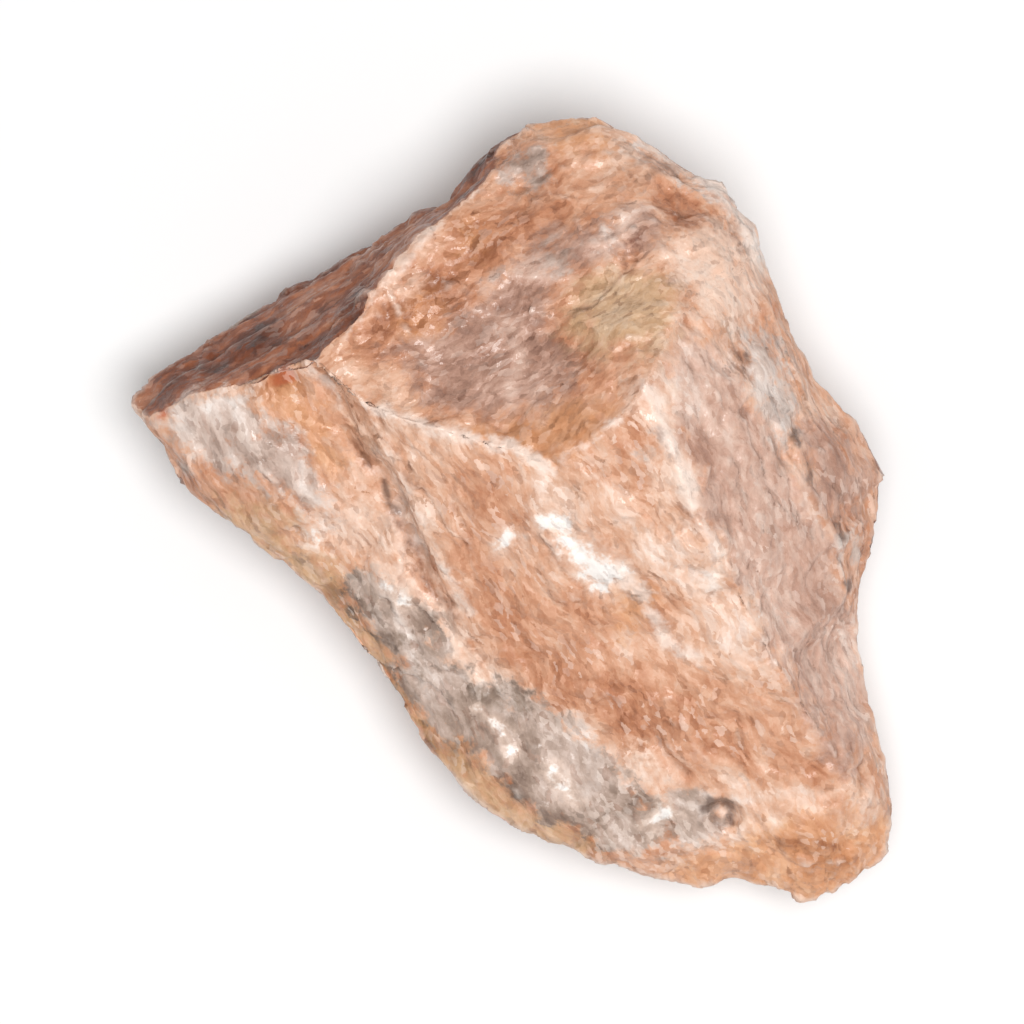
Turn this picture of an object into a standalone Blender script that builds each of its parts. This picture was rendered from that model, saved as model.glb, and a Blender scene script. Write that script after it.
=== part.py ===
"""Rough peach moonstone: one broken piece of feldspar, lying on a small flat spot.

The stone is modelled in millimetres, as an upper and a lower surface that meet at its girth.
Each is stretched over named points: ridges, creases and corners of its cleavage faces.
The faces then get their lumps, ledges, chips and pits, and the mesh is scaled to metres.
X points to the right and Y away from a viewer who looks down on the stone, and Z is up.
"""

import bmesh
import bpy
import numpy as np
from mathutils.geometry import delaunay_2d_cdt

MM = 0.001

# Driving dimensions, in millimetres: the finished stone, and how finely it is cut up
WIDTH = 36.2
DEPTH = 37.3
HEIGHT = 19.1
VOXEL = 0.36
TRIANGLES = 9000

# The foot's faces start this far under the cut, and points this near to the cut move onto it
FOOT_DEPTH = 0.5
SNAP = 0.12

# Girth: where the stone is widest, clockwise from its north end (x, y, z)
GIRTH = [
    (1.0, 18.3, 10.0), (4.2, 18.6, 10.3), (6.2, 17.5, 10.6), (10.3, 15.4, 11.0),
    (12.2, 13.6, 11.0), (12.9, 11.2, 10.6), (13.8, 8.9, 10.0), (14.8, 6.5, 9.4),
    (16.6, 4.0, 8.6), (17.8, 1.2, 8.0), (17.6, -1.0, 7.8), (17.1, -3.4, 7.6),
    (17.0, -6.5, 7.4), (17.5, -9.7, 7.2), (17.9, -11.8, 7.0), (18.1, -14.8, 6.6),
    (18.0, -16.6, 6.2), (16.6, -17.8, 6.0), (14.6, -18.7, 5.8), (12.4, -18.2, 5.8),
    (10.6, -17.8, 5.9), (9.0, -18.1, 6.2), (6.6, -17.4, 6.6), (4.2, -16.6, 6.8),
    (1.6, -15.8, 7.0), (-1.1, -14.0, 7.2), (-3.4, -11.9, 7.4), (-5.5, -9.2, 7.6),
    (-7.6, -6.5, 7.8), (-9.1, -3.9, 8.0), (-11.2, -1.9, 8.0), (-14.1, -0.2, 7.8),
    (-15.6, 1.4, 7.6), (-17.1, 3.6, 7.5), (-18.1, 5.1, 7.2), (-17.0, 6.2, 6.8),
    (-14.4, 7.9, 6.4), (-11.2, 9.9, 6.2), (-8.0, 12.0, 6.4), (-4.9, 14.0, 7.2),
    (-3.0, 14.5, 8.6), (-1.7, 16.3, 9.4), (-0.6, 17.4, 9.8),
]

# Upper side: ridges, creases and edges between the faces
CREST = [
    (-9.6, 6.9, 14.4), (-7.5, 5.2, 15.2), (-5.4, 4.3, 15.8), (-2.4, 3.4, 16.6),
    (0.5, 2.5, 17.2), (1.8, 2.2, 17.5), (3.6, 3.0, 18.0), (5.6, 4.4, 18.7), (6.4, 5.7, 19.0),
]
NORTH_WEST_BROW = [
    (-17.1, 4.2, 9.3), (-14.9, 5.4, 11.0), (-11.8, 6.3, 12.8), (-9.6, 6.9, 14.4),
    (-7.2, 9.1, 14.0), (-4.8, 11.8, 13.2), (-3.0, 13.7, 12.4), (-0.9, 15.6, 11.6),
]
SOUTH_EAST_RIDGE = [
    (6.4, 5.7, 19.0), (7.5, 3.2, 18.5), (8.6, 0.4, 17.7), (10.4, -3.0, 16.3),
    (12.6, -7.1, 14.1), (14.8, -10.4, 11.9), (16.4, -13.0, 9.8),
]
EAST_LEDGE = [
    (8.2, 9.1, 17.2), (9.8, 8.0, 16.6), (10.9, 6.9, 15.8), (11.9, 5.4, 14.9), (13.2, 3.6, 13.8),
    (14.0, 1.9, 13.0), (14.8, 0.1, 12.3), (15.8, -1.6, 11.3), (16.4, -4.4, 10.2),
]
SHELF_CREASE = [
    (-8.5, 5.6, 13.6), (-6.9, 2.5, 12.9), (-5.5, -0.2, 12.1), (-4.0, -2.9, 11.3),
    (-2.6, -5.3, 10.8), (0.1, -8.5, 10.2), (3.9, -11.6, 9.9),
]
SLOPE_EDGE = [
    (-7.5, 5.2, 15.2), (-6.0, 2.6, 14.4), (-4.6, 0.0, 13.5), (-3.1, -2.7, 12.5),
    (-1.7, -5.1, 11.8), (0.9, -8.1, 10.9), (3.9, -11.6, 9.9),
]
RIM = [
    (-17.1, 4.2, 9.3), (-14.6, 1.3, 9.3), (-11.6, -1.0, 9.3), (-8.5, -3.4, 9.1),
    (-6.6, -6.2, 8.9), (-4.4, -8.8, 8.7), (-2.2, -11.3, 8.5), (0.4, -13.4, 8.3),
    (3.2, -15.2, 8.0), (6.4, -16.4, 7.8),
]
SLOPE_CRACK = [(3.4, -8.8), (5.2, -10.2), (6.7, -11.9), (8.3, -12.9)]
SOUTH_LIP = [
    (3.9, -11.6, 9.9), (7.2, -13.4, 9.4), (10.6, -13.9, 9.3), (13.0, -13.6, 9.8), (16.4, -13.0, 9.8),
]
KNOB = [
    (6.4, -16.4, 7.8), (8.8, -16.2, 7.9), (11.6, -15.4, 8.6), (14.4, -15.2, 9.4), (16.4, -13.0, 9.8),
]
NORTH_RIM = [
    (-0.9, 15.6, 11.6), (1.6, 17.2, 11.6), (4.2, 17.6, 11.8), (6.4, 16.4, 12.2),
    (9.8, 14.3, 12.8), (11.4, 12.6, 12.9), (12.2, 10.6, 12.6), (12.9, 8.2, 12.2), (13.6, 6.2, 11.9),
]
# Points inside the faces: the spoon-shaped hollow of the plateau, and the swell of the others
HOLLOW = [
    (-4.6, 7.6, 14.4), (-1.6, 5.2, 15.7), (1.6, 4.5, 16.6), (-0.8, 9.2, 14.4), (2.8, 8.8, 15.8),
    (5.4, 8.4, 17.5), (2.2, 13.4, 13.4), (7.0, 12.6, 15.0), (10.4, 10.8, 15.0),
]
SWELLS = [
    (1.2, -2.4, 14.5), (5.4, -0.8, 16.4), (5.4, -6.0, 13.3), (9.2, -9.4, 12.2), (4.0, -9.0, 11.6),
    (11.4, 1.6, 15.3), (13.2, -3.6, 12.8), (15.2, -8.4, 10.4), (15.9, 2.2, 10.8),
    (-12.2, 3.0, 11.7), (-9.0, 0.6, 11.4), (-5.6, -4.6, 10.4), (15.2, -16.4, 8.6),
]

# Lower side: the flat spot it lies on, sunk a little below the cut, and the belly around it
FOOT = [
    (-3.2, 1.4), (-1.6, 4.6), (1.8, 5.8), (5.4, 4.4), (7.2, 0.8), (7.0, -4.4), (4.6, -6.2),
    (1.0, -5.6), (-2.0, -2.6),
]
BELLY = [
    (-15.0, 4.0, 4.0), (-10.0, 8.7, 1.2), (-4.4, 12.7, 2.4), (0.6, 16.4, 5.0), (6.4, 15.6, 3.0),
    (11.4, 10.9, 1.6), (13.6, 5.4, 2.6), (16.3, 0.2, 3.4), (15.3, -7.4, 1.0), (16.9, -14.0, 2.0),
    (13.2, -16.9, 1.4), (6.4, -15.3, 2.6), (0.2, -12.4, 1.6), (-5.0, -7.4, 3.8), (-9.8, -1.0, 2.6),
]

# Relief of the broken faces, in millimetres: how far it reaches, and over what distance. The
# upper side has only a share of it, and calm and rough patches change over CALM
LUMP = (0.50, 7.0)
DIMPLE = (0.12, 2.7)
FACET = (0.36, 3.6)
CHIP = (0.10, 1.5)
UPPER_SHARE = 0.62
CALM = 5.5
LAYER = (0.42, 1.9)
LEDGE = 0.26
GRAIN_STRETCH = 2.2
# Directions of the feldspar: along the streaks of the slopes, along the north-west face, and
# across the layers
SLOPE_GRAIN = (0.50, -0.83, -0.24)
FACE_GRAIN = (0.84, 0.53, 0.10)
FACE_NORMAL = (-0.50, 0.80, 0.33)
LAYER_NORMAL = (0.12, -0.22, 0.97)
# Cracks and pits: the line or the centre, the width and the depth
PIT = ((10.3, -14.9), 0.85, 0.75)
NOTCH = ((8.1, 14.6), 1.3, 0.6)
CREASE_WIDTH, CREASE_DEPTH = 0.32, 0.42


def surface(outline, lines, points):
    """Triangulate the named points in plan, with each line kept as an edge."""
    places = {}
    edges = []

    def index(point):
        key = (round(point[0], 3), round(point[1], 3))
        places.setdefault(key, (len(places), point[2]))
        return places[key][0]

    ring = [index(point) for point in outline]
    for line in lines:
        steps = [index(point) for point in line]
        edges += list(zip(steps[:-1], steps[1:]))
    for point in points:
        index(point)
    heights = [place[1] for place in places.values()]
    spots, _, faces, origins, _, _ = delaunay_2d_cdt(list(places), edges, [ring], 1, 1e-5)
    corners = [(spot[0], spot[1], heights[origin[0]]) for spot, origin in zip(spots, origins)]
    return corners, faces


def cage():
    """Join the upper and the lower surface at the girth into one closed body."""
    foot = [(x, y, -FOOT_DEPTH) for x, y in FOOT]
    upper = [CREST, NORTH_WEST_BROW, SOUTH_EAST_RIDGE, EAST_LEDGE, SHELF_CREASE, SLOPE_EDGE,
             RIM, SOUTH_LIP, KNOB, NORTH_RIM]
    lower = [foot + foot[:1], BELLY + BELLY[:1]]
    body = bmesh.new()
    for lines, points, top in ((upper, HOLLOW + SWELLS, True), (lower, [], False)):
        corners, faces = surface(GIRTH, lines, points)
        verts = [body.verts.new(corner) for corner in corners]
        for face in faces:
            ordered = face if top else face[::-1]
            body.faces.new([verts[i] for i in ordered])
    bmesh.ops.remove_doubles(body, verts=body.verts, dist=0.001)
    bmesh.ops.recalc_face_normals(body, faces=body.faces)
    mesh = bpy.data.meshes.new("cage")
    body.to_mesh(mesh)
    body.free()
    return mesh


def with_modifier(mesh, kind, **settings):
    """Return a new mesh: the given one after one modifier."""
    holder = bpy.data.objects.new("holder", mesh)
    bpy.context.scene.collection.objects.link(holder)
    modifier = holder.modifiers.new("step", kind)
    for name, value in settings.items():
        setattr(modifier, name, value)
    graph = bpy.context.evaluated_depsgraph_get()
    result = bpy.data.meshes.new_from_object(holder.evaluated_get(graph))
    bpy.data.objects.remove(holder)
    return result


def random_at(corners, seed):
    """A repeatable number from -1 to 1 for each whole-number corner of space."""
    x, y, z = corners.astype(np.int64).T
    mixed = (x * 73856093) ^ (y * 19349663) ^ (z * 83492791) ^ (seed * 57885161)
    mixed = (mixed ^ (mixed >> 13)) * 1274126177
    mixed = (mixed ^ (mixed >> 16)) * 668265263
    return ((mixed >> 9) & 0xFFFF) / 32767.5 - 1.0


def noise(points, size, seed):
    """Smooth noise from -1 to 1 that changes over about one size."""
    scaled = points / size
    base = np.floor(scaled)
    blend = scaled - base
    blend = blend ** 3 * (blend * (blend * 6.0 - 15.0) + 10.0)
    total = np.zeros(len(points))
    for corner in np.ndindex(2, 2, 2):
        share = np.where(corner, blend, 1.0 - blend).prod(axis=1)
        total += share * random_at(base + corner, seed)
    return total


def facets(points, size, seed):
    """Broken facets: each patch of about one size tilts its own way, from about -1 to 1."""
    scaled = points / size
    base = np.floor(scaled)
    nearest = np.full(len(points), 9.0)
    height = np.zeros(len(points))
    for corner in np.ndindex(3, 3, 3):
        cell = base + np.array(corner) - 1.0
        jitter = [random_at(cell, seed + axis) for axis in range(3)]
        tilt = [random_at(cell, seed + 3 + axis) for axis in range(3)]
        offset = scaled - cell - 0.5 - 0.42 * np.stack(jitter, axis=1)
        distance = (offset ** 2).sum(axis=1)
        closer = distance < nearest
        nearest = np.where(closer, distance, nearest)
        height = np.where(closer, (offset * np.stack(tilt, axis=1)).sum(axis=1), height)
    return height


def steps(values):
    """Flat treads with short risers, one for each whole number."""
    tread = np.floor(values)
    rise = np.clip((values - tread - 0.72) / 0.28, 0.0, 1.0)
    return tread + rise * rise * (3.0 - 2.0 * rise)


def stretched(points, direction):
    """The same points, closer together along a direction, so that what they carry is drawn out."""
    along = np.array(direction) / np.linalg.norm(direction)
    return points - (1.0 - 1.0 / GRAIN_STRETCH) * (points @ along)[:, None] * along


def broken(points):
    """Height of the broken facets and of the small chips on them."""
    return FACET[0] * facets(points, FACET[1], 20) + CHIP[0] * facets(points, CHIP[1], 30)


def plan_distance(points, line):
    """How far each point is, seen from above, from a line of named points."""
    nearest = np.full(len(points), 1e3)
    for start, end in zip(line[:-1], line[1:]):
        a = np.array(start[:2])
        along = np.array(end[:2]) - a
        share = np.clip((points[:, :2] - a) @ along / (along @ along), 0.0, 1.0)
        gap = points[:, :2] - a - share[:, None] * along
        nearest = np.minimum(nearest, np.hypot(gap[:, 0], gap[:, 1]))
    return nearest


def relief(points, normals):
    """How far each point of the smooth stone moves out along its normal."""
    warp = np.stack([noise(points, 5.0, 11 + axis) for axis in range(3)], axis=1)
    bent = points + 1.2 * warp
    broad = LUMP[0] * noise(points, LUMP[1], 1) + DIMPLE[0] * noise(points, DIMPLE[1], 2)
    move = LEDGE * steps((broad + 0.15 * noise(points, 1.4, 3)) / LEDGE) * 0.6 + 0.4 * broad
    upper = np.clip(normals[:, 2] * 2.5, 0.0, 1.0)
    rough = (1.0 - (1.0 - UPPER_SHARE) * upper) * np.clip(0.65 + noise(points, CALM, 8), 0.2, 1.1)
    on_face = np.clip(4.0 * (normals @ np.array(FACE_NORMAL)) - 2.2, 0.0, 1.0)
    move += rough * (1.0 - on_face) * broken(stretched(bent, SLOPE_GRAIN))
    move += rough * on_face * broken(stretched(bent, FACE_GRAIN))
    layer_normal = np.array(LAYER_NORMAL) / np.linalg.norm(LAYER_NORMAL)
    side = 1.0 - (normals @ layer_normal) ** 2
    height = (points @ layer_normal + 0.9 * noise(points, 7.0, 5)) / LAYER[1]
    patchy = np.clip(0.5 + 0.9 * noise(points, 6.0, 6), 0.0, 1.0)
    move += LAYER[0] * side * patchy * (steps(height) - height + 0.36)
    open_part = np.clip(0.6 + 0.8 * noise(points, 2.4, 7), 0.0, 1.0)
    for line in (SHELF_CREASE[:5], SLOPE_CRACK, EAST_LEDGE[:8]):
        gap = plan_distance(bent, line)
        move -= upper * open_part * CREASE_DEPTH * np.exp(-(gap / CREASE_WIDTH) ** 2)
    for centre, width, depth in (PIT, NOTCH):
        gap = plan_distance(points, [centre, (centre[0] + 0.01, centre[1])])
        move -= upper * depth * np.exp(-(gap / width) ** 4)
    return move * np.clip((points[:, 2] + 0.2) / 1.4, 0.0, 1.0)


def roughen(mesh):
    """Move the points of a fine mesh by the relief."""
    count = len(mesh.vertices)
    points = np.empty(count * 3, dtype=np.float32)
    mesh.vertices.foreach_get("co", points)
    normals = np.empty(count * 3, dtype=np.float32)
    mesh.vertices.foreach_get("normal", normals)
    points = points.reshape(-1, 3).astype(float)
    normals = normals.reshape(-1, 3).astype(float)
    points += normals * relief(points, normals)[:, None]
    mesh.vertices.foreach_set("co", points.ravel())
    mesh.update()


def cut_flat(body):
    """Cut the stone off at the ground, so that it lies on a truly flat spot."""
    for vert in body.verts:
        if abs(vert.co.z) < SNAP:
            vert.co.z = 0.0
    everything = body.verts[:] + body.edges[:] + body.faces[:]
    bmesh.ops.bisect_plane(body, geom=everything, dist=0.0001, plane_co=(0, 0, 0),
                           plane_no=(0, 0, 1), clear_inner=True)
    bmesh.ops.holes_fill(body, edges=[edge for edge in body.edges if edge.is_boundary])
    bmesh.ops.triangulate(body, faces=body.faces)


def fit_to_size(body):
    """Bring the stone to its stated size in metres, with the origin under its middle."""
    spots = np.array([vert.co for vert in body.verts])
    low, high = spots.min(axis=0), spots.max(axis=0)
    middle = (low + high) / 2.0
    middle[2] = low[2]
    scale = MM * np.array([WIDTH, DEPTH, HEIGHT]) / (high - low)
    for vert, spot in zip(body.verts, (spots - middle) * scale):
        vert.co = spot


def feldspar():
    """The plain peach material of the stone."""
    material = bpy.data.materials.new("peach_moonstone")
    material.use_nodes = True
    shader = material.node_tree.nodes["Principled BSDF"]
    shader.inputs["Base Color"].default_value = (0.64, 0.39, 0.27, 1.0)
    shader.inputs["Roughness"].default_value = 0.55
    shader.inputs["Metallic"].default_value = 0.0
    return material


def main():
    for item in list(bpy.data.objects):
        bpy.data.objects.remove(item, do_unlink=True)
    mesh = with_modifier(cage(), "REMESH", mode="VOXEL", voxel_size=VOXEL)
    mesh = with_modifier(mesh, "SMOOTH", factor=0.5, iterations=3)
    roughen(mesh)
    mesh = with_modifier(mesh, "DECIMATE", ratio=TRIANGLES / (2.0 * len(mesh.polygons)))
    body = bmesh.new()
    body.from_mesh(mesh)
    cut_flat(body)
    fit_to_size(body)
    stone = bpy.data.meshes.new("moonstone")
    body.to_mesh(stone)
    body.free()
    stone.materials.append(feldspar())
    piece = bpy.data.objects.new("moonstone", stone)
    bpy.context.scene.collection.objects.link(piece)


main()
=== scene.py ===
"""Looks of a rough peach moonstone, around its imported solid.

The stone's recipe is the solid's own: an upper and a lower surface over named points, in
millimetres, then the relief of the broken faces. Here it is cut up finer, gets its small steps,
fibres and grains, and carries the regions of its colour as numbers on its points.
"""

import bmesh
import bpy
import numpy as np
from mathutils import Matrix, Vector
from mathutils.geometry import delaunay_2d_cdt


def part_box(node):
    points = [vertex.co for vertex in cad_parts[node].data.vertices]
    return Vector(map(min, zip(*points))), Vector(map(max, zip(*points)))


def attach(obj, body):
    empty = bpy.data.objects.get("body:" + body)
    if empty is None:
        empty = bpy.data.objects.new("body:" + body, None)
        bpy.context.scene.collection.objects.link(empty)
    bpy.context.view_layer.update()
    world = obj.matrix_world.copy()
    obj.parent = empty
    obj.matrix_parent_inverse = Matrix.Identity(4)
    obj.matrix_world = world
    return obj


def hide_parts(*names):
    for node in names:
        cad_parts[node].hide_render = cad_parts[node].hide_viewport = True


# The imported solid, and its box before anything is added
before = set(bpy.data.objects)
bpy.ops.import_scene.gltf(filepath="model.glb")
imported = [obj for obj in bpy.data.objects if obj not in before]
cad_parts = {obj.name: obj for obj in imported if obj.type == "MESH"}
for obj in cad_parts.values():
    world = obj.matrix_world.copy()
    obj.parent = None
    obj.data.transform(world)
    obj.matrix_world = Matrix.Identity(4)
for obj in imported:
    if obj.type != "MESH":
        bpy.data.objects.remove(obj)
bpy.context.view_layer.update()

MM = 0.001

# How finely the stone is cut up, in millimetres, how often it is smoothed, and how many
# triangles are kept
VOXEL = 0.175
SMOOTHINGS = 6
TRIANGLES = 194000
# How far the foot is sunk below the ground, where it is cut off, and how near to the ground a
# point is set right on it, in millimetres
FOOT_DEPTH = 0.5
SNAP = 0.06

# Girth: where the stone is widest, clockwise from its north end (x, y, z)
GIRTH = [
    (1.0, 18.3, 10.0), (4.2, 18.6, 10.3), (6.2, 17.5, 10.6), (10.3, 15.4, 11.0),
    (12.2, 13.6, 11.0), (12.9, 11.2, 10.6), (13.8, 8.9, 10.0), (14.8, 6.5, 9.4),
    (16.6, 4.0, 8.6), (17.8, 1.2, 8.0), (17.6, -1.0, 7.8), (17.1, -3.4, 7.6),
    (17.0, -6.5, 7.4), (17.5, -9.7, 7.2), (17.9, -11.8, 7.0), (18.1, -14.8, 6.6),
    (18.0, -16.6, 6.2), (16.6, -17.8, 6.0), (14.6, -18.7, 5.8), (12.4, -18.2, 5.8),
    (10.6, -17.8, 5.9), (9.0, -18.1, 6.2), (6.6, -17.4, 6.6), (4.2, -16.6, 6.8),
    (1.6, -15.8, 7.0), (-1.1, -14.0, 7.2), (-3.4, -11.9, 7.4), (-5.5, -9.2, 7.6),
    (-7.6, -6.5, 7.8), (-9.1, -3.9, 8.0), (-11.2, -1.9, 8.0), (-14.1, -0.2, 7.8),
    (-15.6, 1.4, 7.6), (-17.1, 3.6, 7.5), (-18.1, 5.1, 7.2), (-17.0, 6.2, 6.8),
    (-14.4, 7.9, 6.4), (-11.2, 9.9, 6.2), (-8.0, 12.0, 6.4), (-4.9, 14.0, 7.2),
    (-3.0, 14.5, 8.6), (-1.7, 16.3, 9.4), (-0.6, 17.4, 9.8),
]

# Upper side: ridges, creases and edges between the faces (x, y, z)
CREST = [
    (-9.6, 6.9, 14.4), (-7.5, 5.2, 15.2), (-5.4, 4.3, 15.8), (-2.4, 3.4, 16.6),
    (0.5, 2.5, 17.2), (1.8, 2.2, 17.5), (3.6, 3.0, 18.0), (5.6, 4.4, 18.7), (6.4, 5.7, 19.0),
]
NORTH_WEST_BROW = [
    (-17.1, 4.2, 9.3), (-14.9, 5.4, 11.0), (-11.8, 6.3, 12.8), (-9.6, 6.9, 14.4),
    (-7.2, 9.1, 14.0), (-4.8, 11.8, 13.2), (-3.0, 13.7, 12.4), (-0.9, 15.6, 11.6),
]
SOUTH_EAST_RIDGE = [
    (6.4, 5.7, 19.0), (7.5, 3.2, 18.5), (8.6, 0.4, 17.7), (10.4, -3.0, 16.3),
    (12.6, -7.1, 14.1), (14.8, -10.4, 11.9), (16.4, -13.0, 9.8),
]
EAST_LEDGE = [
    (8.2, 9.1, 17.2), (9.8, 8.0, 16.6), (10.9, 6.9, 15.8), (11.9, 5.4, 14.9), (13.2, 3.6, 13.8),
    (14.0, 1.9, 13.0), (14.8, 0.1, 12.3), (15.8, -1.6, 11.3), (16.4, -4.4, 10.2),
]
SHELF_CREASE = [
    (-8.5, 5.6, 13.6), (-6.9, 2.5, 12.9), (-5.5, -0.2, 12.1), (-4.0, -2.9, 11.3),
    (-2.6, -5.3, 10.8), (0.1, -8.5, 10.2), (3.9, -11.6, 9.9),
]
SLOPE_EDGE = [
    (-7.5, 5.2, 15.2), (-6.0, 2.6, 14.4), (-4.6, 0.0, 13.5), (-3.1, -2.7, 12.5),
    (-1.7, -5.1, 11.8), (0.9, -8.1, 10.9), (3.9, -11.6, 9.9),
]
RIM = [
    (-17.1, 4.2, 9.3), (-14.6, 1.3, 9.3), (-11.6, -1.0, 9.3), (-8.5, -3.4, 9.1),
    (-6.6, -6.2, 8.9), (-4.4, -8.8, 8.7), (-2.2, -11.3, 8.5), (0.4, -13.4, 8.3),
    (3.2, -15.2, 8.0), (6.4, -16.4, 7.8),
]
SOUTH_LIP = [
    (3.9, -11.6, 9.9), (7.2, -13.4, 9.4), (10.6, -13.9, 9.3), (13.0, -13.6, 9.8),
    (16.4, -13.0, 9.8),
]
KNOB = [
    (6.4, -16.4, 7.8), (8.8, -16.2, 7.9), (11.6, -15.4, 8.6), (14.4, -15.2, 9.4),
    (16.4, -13.0, 9.8),
]
NORTH_RIM = [
    (-0.9, 15.6, 11.6), (1.6, 17.2, 11.6), (4.2, 17.6, 11.8), (6.4, 16.4, 12.2),
    (9.8, 14.3, 12.8), (11.4, 12.6, 12.9), (12.2, 10.6, 12.6), (12.9, 8.2, 12.2), (13.6, 6.2, 11.9),
]
# Points inside the faces: the spoon-shaped hollow of the plateau, and the swell of the others
HOLLOW = [
    (-4.6, 7.6, 14.4), (-1.6, 5.2, 15.7), (1.6, 4.5, 16.6), (-0.8, 9.2, 14.4), (2.8, 8.8, 15.8),
    (5.4, 8.4, 17.5), (2.2, 13.4, 13.4), (7.0, 12.6, 15.0), (10.4, 10.8, 15.0),
]
SWELLS = [
    (1.2, -2.4, 14.5), (5.4, -0.8, 16.4), (5.4, -6.0, 13.3), (9.2, -9.4, 12.2), (4.0, -9.0, 11.6),
    (11.4, 1.6, 15.3), (13.2, -3.6, 12.8), (15.2, -8.4, 10.4), (15.9, 2.2, 10.8),
    (-12.2, 3.0, 11.7), (-9.0, 0.6, 11.4), (-5.6, -4.6, 10.4), (15.2, -16.4, 8.6),
]

# Lower side: the flat spot it lies on, which is sunk by FOOT_DEPTH, and the belly around it
FOOT = [
    (-3.2, 1.4), (-1.6, 4.6), (1.8, 5.8), (5.4, 4.4), (7.2, 0.8), (7.0, -4.4), (4.6, -6.2),
    (1.0, -5.6), (-2.0, -2.6),
]
BELLY = [
    (-15.0, 4.0, 4.0), (-10.0, 8.7, 1.2), (-4.4, 12.7, 2.4), (0.6, 16.4, 5.0), (6.4, 15.6, 3.0),
    (11.4, 10.9, 1.6), (13.6, 5.4, 2.6), (16.3, 0.2, 3.4), (15.3, -7.4, 1.0), (16.9, -14.0, 2.0),
    (13.2, -16.9, 1.4), (6.4, -15.3, 2.6), (0.2, -12.4, 1.6), (-5.0, -7.4, 3.8), (-9.8, -1.0, 2.6),
]

# Relief of the broken faces, in millimetres: how far it reaches, and over what distance
LUMP = (0.50, 7.0)
DIMPLE = (0.12, 2.7)
FRAY = (0.15, 1.4)
FACET = (0.36, 3.6)
CHIP = (0.10, 1.5)
LAYER = (0.42, 1.9)
LAYER_WAVE = (0.9, 7.0)
WARP = (1.2, 5.0)
# How high the ledges are that the lumps break into, in millimetres, and how much of a lump does
LEDGE = 0.26
LEDGE_SHARE = 0.6
# The share of the facets and chips that the upper side has
UPPER_SHARE = 0.62
# Over what distance, in millimetres, rough and calm, layered and plain, and open and closed
# places take turns
CALM = 5.5
LAYERED = 6.0
OPEN = 2.4
# The flat and the rising share of a step, and how far a facet's middle strays in its cell
TREAD = 0.72
RISER = 0.28
JITTER = 0.42
# How many times further the relief and the marks reach along the grain than across it
GRAIN_STRETCH = 2.2
# Directions of the feldspar: along the streaks of the slopes, along the north-west face, and
# across the layers
SLOPE_GRAIN = (0.50, -0.83, -0.24)
FACE_GRAIN = (0.84, 0.53, 0.10)
FACE_NORMAL = (-0.50, 0.80, 0.33)
LAYER_NORMAL = (0.12, -0.22, 0.97)
# Pits: the centre, the half width and the depth, in millimetres
PIT = ((10.3, -14.9), 0.85, 0.75)
NOTCH = ((8.1, 14.6), 1.3, 0.6)
# Cracks: one by its points, and the half width and the depth of all, in millimetres
SLOPE_CRACK = [(3.4, -8.8), (5.2, -10.2), (6.7, -11.9), (8.3, -12.9)]
CREASE_WIDTH = 0.32
CREASE_DEPTH = 0.42
# The length of a line that stands for a point, in millimetres
DOT = 0.01


def surface(outline, lines, points):
    """Triangulate the named points in plan, with each line kept as an edge."""
    places = {}
    edges = []

    def index(point):
        """A point's number, the same for points at one place in plan."""
        key = (round(point[0], 3), round(point[1], 3))
        places.setdefault(key, (len(places), point[2]))
        return places[key][0]

    ring = [index(point) for point in outline]
    for line in lines:
        numbers = [index(point) for point in line]
        edges += list(zip(numbers[:-1], numbers[1:]))
    for point in points:
        index(point)
    heights = [place[1] for place in places.values()]
    flat, _, faces, origins, _, _ = delaunay_2d_cdt(list(places), edges, [ring], 1, 1e-5)
    corners = [(spot[0], spot[1], heights[origin[0]]) for spot, origin in zip(flat, origins)]
    return corners, faces


def cage():
    """Join the upper and the lower surface at the girth into one closed body."""
    foot = [(x, y, -FOOT_DEPTH) for x, y in FOOT]
    upper = [CREST, NORTH_WEST_BROW, SOUTH_EAST_RIDGE, EAST_LEDGE, SHELF_CREASE, SLOPE_EDGE,
             RIM, SOUTH_LIP, KNOB, NORTH_RIM]
    lower = [foot + foot[:1], BELLY + BELLY[:1]]
    body = bmesh.new()
    for edges, points, top in ((upper, HOLLOW + SWELLS, True), (lower, [], False)):
        corners, faces = surface(GIRTH, edges, points)
        verts = [body.verts.new(corner) for corner in corners]
        for face in faces:
            ordered = face if top else face[::-1]
            body.faces.new([verts[i] for i in ordered])
    bmesh.ops.remove_doubles(body, verts=body.verts, dist=0.001)
    bmesh.ops.recalc_face_normals(body, faces=body.faces)
    mesh = bpy.data.meshes.new("cage")
    body.to_mesh(mesh)
    body.free()
    return mesh


def with_modifier(mesh, kind, **settings):
    """Return a new mesh: the given one after one modifier."""
    holder = bpy.data.objects.new("holder", mesh)
    bpy.context.scene.collection.objects.link(holder)
    modifier = holder.modifiers.new("step", kind)
    for name, value in settings.items():
        setattr(modifier, name, value)
    graph = bpy.context.evaluated_depsgraph_get()
    result = bpy.data.meshes.new_from_object(holder.evaluated_get(graph))
    bpy.data.objects.remove(holder)
    return result


def random_at(corners, seed):
    """A repeatable number from -1 to 1 for each whole-number corner of space."""
    x, y, z = corners.astype(np.int64).T
    mixed = (x * 73856093) ^ (y * 19349663) ^ (z * 83492791) ^ (seed * 57885161)
    mixed = (mixed ^ (mixed >> 13)) * 1274126177
    mixed = (mixed ^ (mixed >> 16)) * 668265263
    return ((mixed >> 9) & 0xFFFF) / 32767.5 - 1.0


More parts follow.
